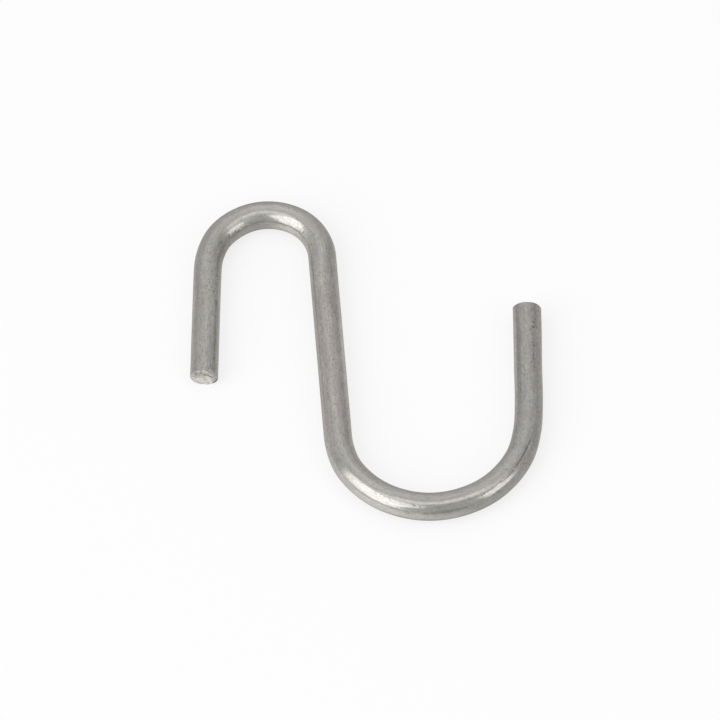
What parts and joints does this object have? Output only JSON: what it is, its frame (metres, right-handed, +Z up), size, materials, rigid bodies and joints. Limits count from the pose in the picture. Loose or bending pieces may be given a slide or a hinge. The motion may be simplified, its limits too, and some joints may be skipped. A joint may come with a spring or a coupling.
{
  "type": "s hook",
  "caption": "Bent round-wire S hook with a narrow hook for a rail at one end and a wider hook for the load at the other.",
  "frame": {"origin": "under the middle of the hook's outline, on the surface it lies on", "axes": "+Z up out of the plane of the hook as it lies flat; +Y along the small hook's free leg towards the top of its bend; +X from the small hook's free leg towards the large hook's free leg"},
  "size_m": [0.08, 0.0852, 0.0063],
  "materials": {
    "steel": "dull satin bare steel with fine drawing marks, speckle and small pits; rough sheared ends with a trace of rust"
  },
  "bodies": {
    "root": {"hook": "steel"}
  },
  "joints": []
}
